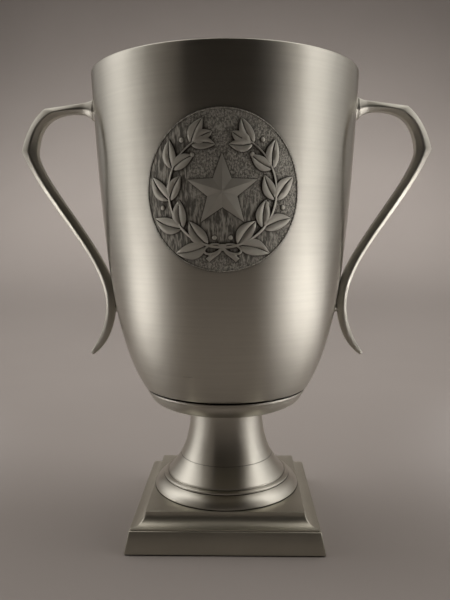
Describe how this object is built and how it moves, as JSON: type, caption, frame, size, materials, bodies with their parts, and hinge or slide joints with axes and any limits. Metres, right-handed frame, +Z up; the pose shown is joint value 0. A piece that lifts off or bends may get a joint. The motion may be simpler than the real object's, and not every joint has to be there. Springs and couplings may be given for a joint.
{
  "type": "cup trophy",
  "caption": "Two-handled pewter award cup with a round relief medallion, on a flared pedestal and a square coved plinth.",
  "frame": {"origin": "centre of the underside of the base felt, where the trophy stands", "axes": "+Z up along the tie rod, -Y out of the medallion towards the viewer, +X towards the right-hand handle"},
  "size_m": [0.278, 0.1772, 0.3048],
  "materials": {
    "spun_pewter": "satin pewter with fine turned brushing",
    "cast_pewter": "satin cast pewter, brushed, darker in the hollows",
    "antiqued_pewter": "antiqued pewter with satin raised faces",
    "soft_solder": "smooth dressed solder",
    "zinc_steel": "bright zinc plate",
    "cast_iron": "rough as cast",
    "hardboard": "matt pressed fibre",
    "wool_felt": "dense dark felt"
  },
  "bodies": {
    "root": {"cup_shell": "spun_pewter", "collar_dish": "spun_pewter", "pedestal": "spun_pewter", "cup_boss": "cast_pewter", "handle_left": "cast_pewter", "handle_right": "cast_pewter", "plinth_shell": "cast_pewter", "medallion": "antiqued_pewter", "solder_top_left": "soft_solder", "solder_top_right": "soft_solder", "solder_tail_left": "soft_solder", "solder_tail_right": "soft_solder", "plinth_weight": "cast_iron", "base_board": "hardboard", "base_felt": "wool_felt", "tie_rod": "zinc_steel", "clamp_washer": "zinc_steel", "lock_washer": "zinc_steel", "tie_nut": "zinc_steel"}
  },
  "joints": []
}
